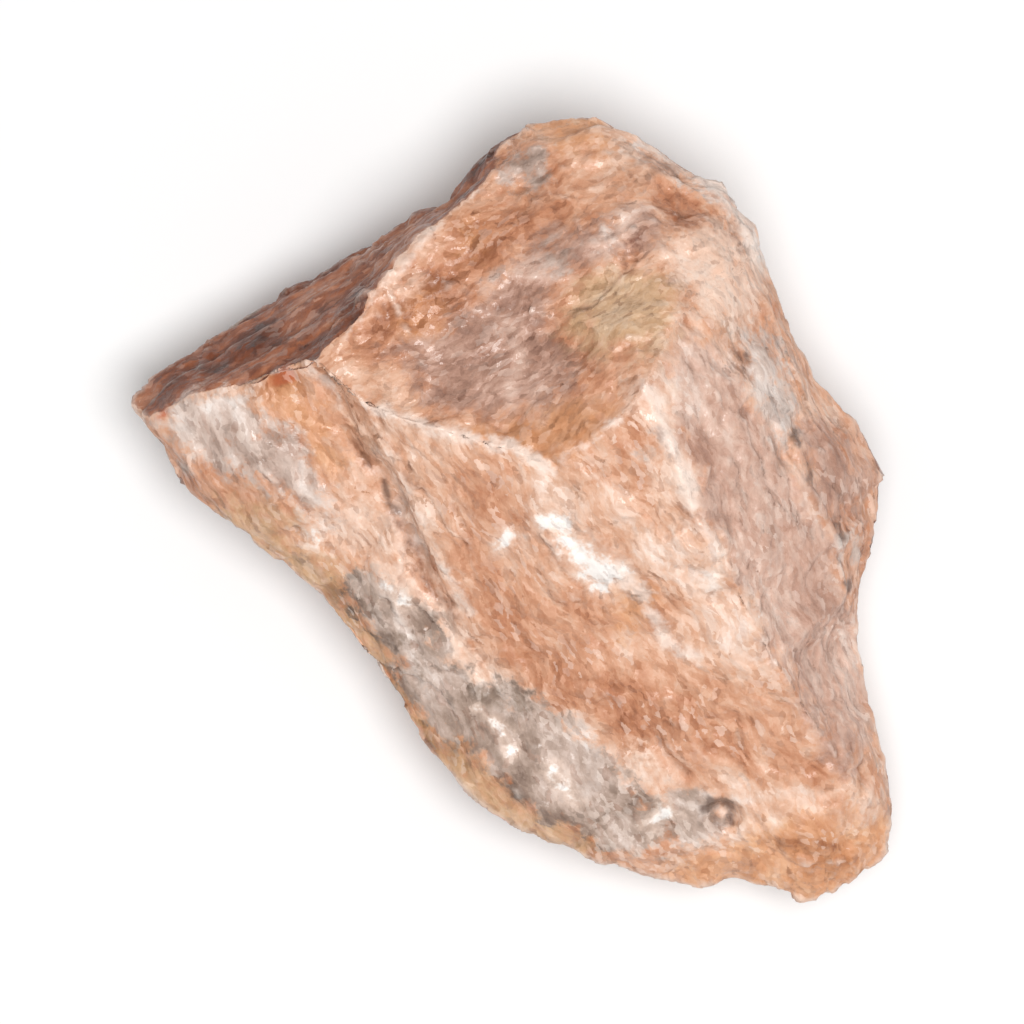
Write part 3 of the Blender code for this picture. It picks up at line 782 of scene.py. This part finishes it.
def stone_mesh(low, high):
    """The fine mesh of the stone, in metres, with its colour marks on its points."""
    mesh = with_modifier(cage(), "REMESH", mode="VOXEL", voxel_size=VOXEL)
    mesh = with_modifier(mesh, "SMOOTH", factor=0.5, iterations=SMOOTHINGS)
    points, smooth_normals = mesh_arrays(mesh)
    points, normals = moved_out(mesh, points, smooth_normals, relief(points, smooth_normals))
    marks = colour_marks(points, smooth_normals)
    points, normals = moved_out(mesh, points, normals, fine_relief(points, marks))
    bend = surface_bend(mesh, points, normals)
    marks["edge"] = smooth(bend, *BEND)
    marks["hollow"] = smooth(-bend, *BEND)
    for name, values in marks.items():
        keep_on(mesh, name, values)

    # As many triangles as are kept, flat below, and in the solid's box
    mesh = with_modifier(mesh, "DECIMATE", ratio=TRIANGLES / (2.0 * len(mesh.polygons)))
    body = bmesh.new()
    body.from_mesh(mesh)
    cut_flat(body)
    result = bpy.data.meshes.new("moonstone_rough")
    body.to_mesh(result)
    body.free()
    points, _ = mesh_arrays(result)
    result.vertices.foreach_set("co", fitted(points, low, high).ravel())
    result.update()
    result.shade_smooth()
    return result


def put(tree, kind, inputs=None, **settings):
    """Add a shader node; inputs maps a socket's name or number to a value or to another socket."""
    item = tree.nodes.new("ShaderNode" + kind)
    for name, value in settings.items():
        setattr(item, name, value)
    for socket, value in (inputs or {}).items():
        if isinstance(value, bpy.types.NodeSocket):
            tree.links.new(value, item.inputs[socket])
        else:
            item.inputs[socket].default_value = value
    return item


def maths(tree, operation, a, b):
    """One step of arithmetic on two numbers or sockets."""
    return put(tree, "Math", {0: a, 1: b}, operation=operation).outputs[0]


def add_times(tree, base, value, times):
    """The base with so many times the value added to it."""
    return put(tree, "Math", {0: value, 1: times, 2: base}, operation="MULTIPLY_ADD").outputs[0]


def centred(tree, value):
    """A random value around 0.5, moved to lie around 0."""
    return maths(tree, "SUBTRACT", value, 0.5)


def blend(tree, share, a, b):
    """The colour a, or where the share is 1 the colour b."""
    return put(tree, "Mix", {0: share, 6: a, 7: b}, data_type="RGBA").outputs[2]


def lift(tree, value, low, high, to_low=0.0, to_high=1.0):
    """Carry a value from one range to another, smoothly and without running over."""
    item = put(tree, "MapRange", {0: value, 1: low, 2: high, 3: to_low, 4: to_high},
               interpolation_type="SMOOTHSTEP")
    return item.outputs[0]


def mark(tree, name):
    """A number that the mesh carries on its points."""
    return put(tree, "Attribute", attribute_name=name).outputs["Fac"]


def cloud(tree, place, size, detail, roughness):
    """Fractal noise around 0.5 that changes over about one size, in millimetres: its outputs."""
    return put(tree, "TexNoise", {"Vector": place, "Scale": 1.0 / size, "Detail": detail,
                                  "Roughness": roughness}).outputs


def along_grain(tree, place, direction):
    """Coordinates that run slower along a direction of the stone."""
    turn = Vector(direction).to_track_quat("X", "Z").to_euler()
    return put(tree, "Mapping", {"Vector": place, "Rotation": turn,
                                 "Scale": (GRAIN_STRETCH, 1.0, 1.0)},
               vector_type="TEXTURE").outputs[0]


def tint(red, green, blue):
    """A colour as the eye names it, from 0 to 255, in the linear numbers that a shader takes."""
    shares = np.array([red, green, blue]) / 255.0
    linear = np.where(shares <= 0.04045, shares / 12.92, ((shares + 0.055) / 1.055) ** 2.4)
    return (*linear.tolist(), 1.0)


def ramp(tree, value, stops):
    """Colours along a value: each stop is its place from 0 to 1 and its colour."""
    item = put(tree, "ValToRGB", {0: value})
    elements = item.color_ramp.elements
    elements.remove(elements[1])
    elements[0].position = stops[0][0]
    elements[0].color = tint(*stops[0][1])
    for place, colour in stops[1:]:
        elements.new(place).color = tint(*colour)
    return item.outputs[0]


# Colours of the feldspar and of the minerals in it, from the dark to the light of their mottling:
# each one's place from 0 to 1, and the colour as the eye names it, from 0 to 255
PEACH = [
    (0.27, (150, 92, 62)), (0.37, (192, 130, 96)), (0.46, (213, 158, 126)),
    (0.53, (225, 179, 151)), (0.61, (237, 202, 181)), (0.72, (250, 231, 219)),
]
BROWN = [
    (0.30, (74, 37, 23)), (0.42, (123, 67, 43)), (0.50, (155, 91, 60)),
    (0.60, (185, 121, 88)), (0.74, (222, 176, 148)),
]
MAUVE = [
    (0.28, (140, 102, 86)), (0.38, (176, 134, 115)), (0.46, (200, 160, 141)),
    (0.54, (216, 181, 163)), (0.63, (232, 207, 193)), (0.74, (248, 236, 228)),
]
OLIVE = [
    (0.30, (168, 126, 88)), (0.41, (198, 156, 118)), (0.50, (212, 174, 139)),
    (0.60, (226, 195, 165)), (0.74, (244, 224, 204)),
]
AMBER = [
    (0.28, (158, 98, 62)), (0.40, (200, 137, 95)), (0.50, (217, 158, 118)),
    (0.60, (232, 181, 143)), (0.74, (248, 219, 195)),
]
CREAM = [
    (0.28, (204, 154, 126)), (0.40, (226, 182, 156)), (0.50, (236, 200, 178)),
    (0.60, (245, 218, 200)), (0.74, (253, 241, 232)),
]
PEARL = [
    (0.28, (150, 124, 110)), (0.40, (192, 166, 152)), (0.50, (214, 191, 178)),
    (0.60, (230, 213, 203)), (0.74, (250, 244, 239)),
]
QUARTZ = [
    (0.26, (104, 84, 71)), (0.37, (140, 116, 102)), (0.45, (167, 143, 128)),
    (0.53, (192, 168, 154)), (0.62, (216, 197, 186)), (0.74, (246, 238, 233)),
]
DARK_QUARTZ = [
    (0.30, (88, 69, 58)), (0.43, (122, 100, 86)), (0.54, (152, 130, 115)), (0.70, (206, 189, 178)),
]
# The minerals that lie over the peach, from the lowest up: the mark, the colours, and how ragged
# and how soft the border is, in millimetres
MINERALS = (
    ("mauve", MAUVE, 3.5, 0.8),
    ("olive", OLIVE, 4.0, 1.2),
    ("amber", AMBER, 3.0, 0.7),
    ("cream", CREAM, 4.0, 0.8),
    ("brown", BROWN, 2.6, 0.4),
    ("pearl", PEARL, 3.5, 0.6),
    ("quartz", QUARTZ, 2.6, 0.4),
    ("dark", DARK_QUARTZ, 4.5, 0.6),
)
WISPY = ("pearl", "quartz")

# Colours laid over the minerals: stains, wear, painted highlights and painted shade
RUST = (186, 94, 54)
HALO = (242, 214, 196)
WHITE = (253, 248, 243)
PALE_WEAR_AND_HIGHLIGHT = (251, 234, 222)
UMBER = (150, 92, 62)
CRACK = (96, 58, 40)
CREVICE = (88, 60, 47)
# Stains, wear, painted highlights and painted shade, from the lowest up: the mark, the colour, how
# ragged the border is, where it starts and where it is full, all in millimetres, and how strong it
# is
# Rust, and white that is partly pale mineral and partly painted highlight
SPOT_STAINS_AND_HIGHLIGHTS = (
    ("rust", RUST, 1.0, -0.2, 0.25, 0.8),
    ("white", HALO, 2.4, -0.9, 0.3, 0.7),
    ("white", WHITE, 2.4, -0.2, 0.35, 0.9),
)
# Ridges painted pale: wear and painted highlight
RIDGE_WEAR_AND_HIGHLIGHT = (("ridge", PALE_WEAR_AND_HIGHLIGHT, 1.3, 0.55, 0.0, 0.62),)
# Cracks and crevices darkened with painted shade
CRACK_PAINTED_SHADE = (
    ("cleft", UMBER, 1.4, 0.6, 0.0, 0.4),
    ("cleft", CRACK, 1.4, 0.2, -0.2, 0.6),
    ("crevice", CREVICE, 0.6, -0.2, 0.12, 0.75),
)
# How strongly the small edges of the relief are painted pale, as wear and painted highlight, and
# its small hollows darkened with painted shade
EDGE_WEAR_AND_HIGHLIGHT = 0.35
HOLLOW_PAINTED_SHADE = 0.4
# Flecks: a plate has one if its random number is past the first value, fully so past the second,
# and how strong it is. The pale ones are partly painted glints and partly pale powder
PALE_FLECKS = (0.78, 0.86, 0.26)
DARK_FLECKS = (0.14, 0.06, 0.22)

# Plates of cleavage: how many for each millimetre, how far they tilt, and how much paler or
# darker than the rest they are
PLATES = ((1.7, 0.40, 0.05), (4.0, 0.34, 0.06))
# How far a plate carries a mineral's border with it, as a share of the plate's size
BORDER_PUSH = 0.8
# How the grain strays, broadly and finely: over what distance and how far, in millimetres, and
# how many finer layers the noise has
WANDER = (1.9, 0.9, 0.0)
RAGGED = (0.34, 0.26, 2.0)
# Small grain, the raggedness of the borders and the bumps: their sizes in millimetres, how much
# paler or darker the grain is, and how high the bumps are, in millimetres
GRAIN_SIZE = 0.45
GRAIN_CONTRAST = 0.3
BORDER_SIZE = 0.8
BUMP_SIZE = 0.3
BUMP_HEIGHT = 0.05
# The roughness of the glossiest and of the dullest plates, and how feldspar bends light
ROUGHNESS = (0.32, 0.64)
IOR = 1.53


def add_plates(tree, grain, tone):
    """Plates that each tilt their own way: the tilted normal, the tone with the plates' own, how
    far they push a mineral's border, and from the smallest ones the roughness and the flecks."""
    tilted = put(tree, "NewGeometry").outputs["Normal"]
    push = 0.0
    for density, tilt, contrast in PLATES:
        random = put(tree, "TexVoronoi", {"Vector": grain, "Scale": density}).outputs["Color"]
        turned = put(tree, "VectorMath", {0: random, 1: (0.5,) * 3}, operation="SUBTRACT")
        tilted = put(tree, "VectorMath", {0: turned.outputs[0], 1: (tilt,) * 3, 2: tilted},
                     operation="MULTIPLY_ADD").outputs[0]
        shade, shine, fleck = put(tree, "SeparateColor", {0: random}).outputs
        tone = add_times(tree, tone, centred(tree, shade), contrast)
        push = add_times(tree, push, centred(tree, shine), BORDER_PUSH / density)
    tilted = put(tree, "VectorMath", {0: tilted}, operation="NORMALIZE").outputs[0]
    roughness = lift(tree, shine, 0.1, 0.9, *ROUGHNESS)
    return tilted, tone, push, roughness, fleck


def moonstone_material():
    """Peach feldspar in small cleavage plates, with patches of other minerals in it."""
    material = bpy.data.materials.new("peach_moonstone")
    material.use_nodes = True
    tree = material.node_tree
    tree.nodes.clear()

    # The grain's coordinates stray, and run along the streaks of the slopes, plateau and face
    place = put(tree, "TexCoord").outputs["Object"]
    plain = put(tree, "Mapping", {"Vector": place, "Scale": (1.0 / MM,) * 3}).outputs[0]
    bent = plain
    for size, reach, detail in (WANDER, RAGGED):
        stray = cloud(tree, plain, size, detail, 0.7)["Color"]
        bent = put(tree, "VectorMath", {0: stray, 1: (reach,) * 3, 2: bent},
                   operation="MULTIPLY_ADD").outputs[0]
    grain = along_grain(tree, bent, SLOPE_GRAIN)
    for where, direction in (("plateau", PLATEAU_GRAIN), ("face", FACE_GRAIN)):
        other = along_grain(tree, bent, direction)
        grain = put(tree, "Mix", {0: mark(tree, where), 4: grain, 5: other},
                    data_type="VECTOR").outputs[1]

    tone = maths(tree, "ADD", mark(tree, "tone"), 0.5)
    tilted, tone, push, roughness, fleck = add_plates(tree, grain, tone)
    small = centred(tree, cloud(tree, grain, GRAIN_SIZE, 3.0, 0.65)["Fac"])
    tone = maths(tree, "ADD", tone, maths(tree, "MULTIPLY", small, GRAIN_CONTRAST))
    wispy_tone = maths(tree, "ADD", tone, mark(tree, "wisp"))
    border = centred(tree, cloud(tree, plain, BORDER_SIZE, 3.0, 0.65)["Fac"])

    def depth(name, ragged):
        """How far inside a mark a point is, with a ragged border."""
        return maths(tree, "ADD", mark(tree, name), maths(tree, "MULTIPLY", border, ragged))

    def stain_and_paint_light(base, stains_and_light):
        """Lay stains, wear, painted highlights and painted shade over the colour."""
        for name, overlay_colour, ragged, start, full, strength in stains_and_light:
            share = lift(tree, depth(name, ragged), start, full, 0.0, strength)
            base = blend(tree, share, base, tint(*overlay_colour))
        return base

    colour = ramp(tree, tone, PEACH)
    for name, stops, ragged, soft in MINERALS:
        inside_it = maths(tree, "ADD", depth(name, ragged), push)
        shades = ramp(tree, wispy_tone if name in WISPY else tone, stops)
        colour = blend(tree, lift(tree, inside_it, -soft, soft), colour, shades)
    # Rust, then white, partly painted highlight
    colour = stain_and_paint_light(colour, SPOT_STAINS_AND_HIGHLIGHTS)

    start, full, strength = PALE_FLECKS
    pale = maths(tree, "MULTIPLY", lift(tree, fleck, start, full), mark(tree, "flecked"))
    colour = blend(tree, maths(tree, "MULTIPLY", pale, strength), colour, tint(*PALE_WEAR_AND_HIGHLIGHT))
    start, full, strength = DARK_FLECKS
    colour = blend(tree, lift(tree, fleck, start, full, 0.0, strength), colour, tint(*UMBER))

    # Ridges painted pale with wear and painted highlight
    colour = stain_and_paint_light(colour, RIDGE_WEAR_AND_HIGHLIGHT)
    # Small edges painted pale with wear and painted highlight
    wear_and_highlight = maths(tree, "MULTIPLY", mark(tree, "edge"), EDGE_WEAR_AND_HIGHLIGHT)
    colour = blend(tree, wear_and_highlight, colour, tint(*PALE_WEAR_AND_HIGHLIGHT))
    # Painted shade in the cracks and crevices
    colour = stain_and_paint_light(colour, CRACK_PAINTED_SHADE)
    # Painted shade in the small hollows
    hollow_shade = maths(tree, "MULTIPLY", mark(tree, "hollow"), HOLLOW_PAINTED_SHADE)
    colour = blend(tree, hollow_shade, colour, tint(*CRACK))

    bumps = cloud(tree, plain, BUMP_SIZE, 2.0, 0.6)["Fac"]
    bump = put(tree, "Bump", {"Height": bumps, "Strength": 1.0, "Distance": BUMP_HEIGHT * MM,
                              "Normal": tilted})
    shader = put(tree, "BsdfPrincipled", {
        "Base Color": colour, "Roughness": roughness, "Normal": bump.outputs[0], "IOR": IOR,
    })
    output = put(tree, "OutputMaterial", {"Surface": shader.outputs[0]})
    output.is_active_output = True
    return material


# The floor's card, from its darker to its paler spots, and its roughness
CARD_DARK = (0.86, 0.86, 0.86, 1.0)
CARD_PALE = (0.89, 0.89, 0.89, 1.0)
CARD_ROUGHNESS = 0.8


def floor_material():
    """Matt white card, a little uneven."""
    material = bpy.data.materials.new("pale_card")
    material.use_nodes = True
    tree = material.node_tree
    shader = tree.nodes["Principled BSDF"]
    fine = put(tree, "TexNoise", {"Scale": 60.0, "Detail": 3.0})
    shade = blend(tree, fine.outputs["Fac"], CARD_DARK, CARD_PALE)
    tree.links.new(shade, shader.inputs["Base Color"])
    shader.inputs["Roughness"].default_value = CARD_ROUGHNESS
    return material


# Half the floor's side, and the height of the stone's middle, in metres
FLOOR_HALF = 1.2
STONE_MIDDLE = 0.009
# The camera's height and the width of its view at the stone's middle, in metres, and the width of
# its sensor, in millimetres
CAMERA_HEIGHT = 0.46
FIELD = 0.0485
SENSOR = 36.0
# The lamp's place and width, in metres, its power in watts, and the strength of the room's light
LIGHT_PLACE = (0.06, -0.05, 0.62)
LIGHT_SIZE = 0.30
LIGHT_POWER = 3.6
ROOM_LIGHT = 0.3


def add_floor():
    """A level floor that the stone lies on."""
    mesh = bpy.data.meshes.new("floor")
    half = FLOOR_HALF
    mesh.from_pydata([(-half, -half, 0), (half, -half, 0), (half, half, 0), (-half, half, 0)],
                     [], [(0, 1, 2, 3)])
    mesh.materials.append(floor_material())
    floor = bpy.data.objects.new("floor", mesh)
    bpy.context.scene.collection.objects.link(floor)


def add_light():
    """One soft round light, nearly overhead."""
    light = bpy.data.lights.new("overhead", "AREA")
    light.shape = "DISK"
    light.size = LIGHT_SIZE
    light.energy = LIGHT_POWER
    lamp = bpy.data.objects.new("overhead", light)
    lamp.location = LIGHT_PLACE
    aim = Vector((0.0, 0.0, STONE_MIDDLE)) - Vector(LIGHT_PLACE)
    lamp.rotation_euler = aim.to_track_quat("-Z", "Y").to_euler()
    bpy.context.scene.collection.objects.link(lamp)


def add_world():
    """A dim white room around the stone."""
    world = bpy.data.worlds.new("soft_room")
    world.use_nodes = True
    background = world.node_tree.nodes["Background"]
    background.inputs["Color"].default_value = (1.0, 1.0, 1.0, 1.0)
    background.inputs["Strength"].default_value = ROOM_LIGHT
    bpy.context.scene.world = world


def add_camera():
    """Look straight down on the stone, as the photograph does."""
    camera = bpy.data.cameras.new("camera")
    camera.sensor_width = SENSOR
    camera.lens = SENSOR * (CAMERA_HEIGHT - STONE_MIDDLE) / FIELD
    camera.clip_start = 0.01
    viewer = bpy.data.objects.new("camera", camera)
    viewer.location = (0.0, 0.0, CAMERA_HEIGHT)
    bpy.context.scene.collection.objects.link(viewer)
    bpy.context.scene.camera = viewer


def main():
    """Make the stone, in the imported solid's box, and the stage."""
    bpy.context.scene.view_settings.view_transform = "Standard"
    low, high = (np.array(corner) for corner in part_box("moonstone"))
    stone = bpy.data.objects.new("moonstone_rough", stone_mesh(low, high))
    bpy.context.scene.collection.objects.link(stone)
    stone.data.materials.append(moonstone_material())
    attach(stone, "root")
    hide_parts("moonstone")
    add_floor()
    add_world()
    add_light()
    add_camera()


main()
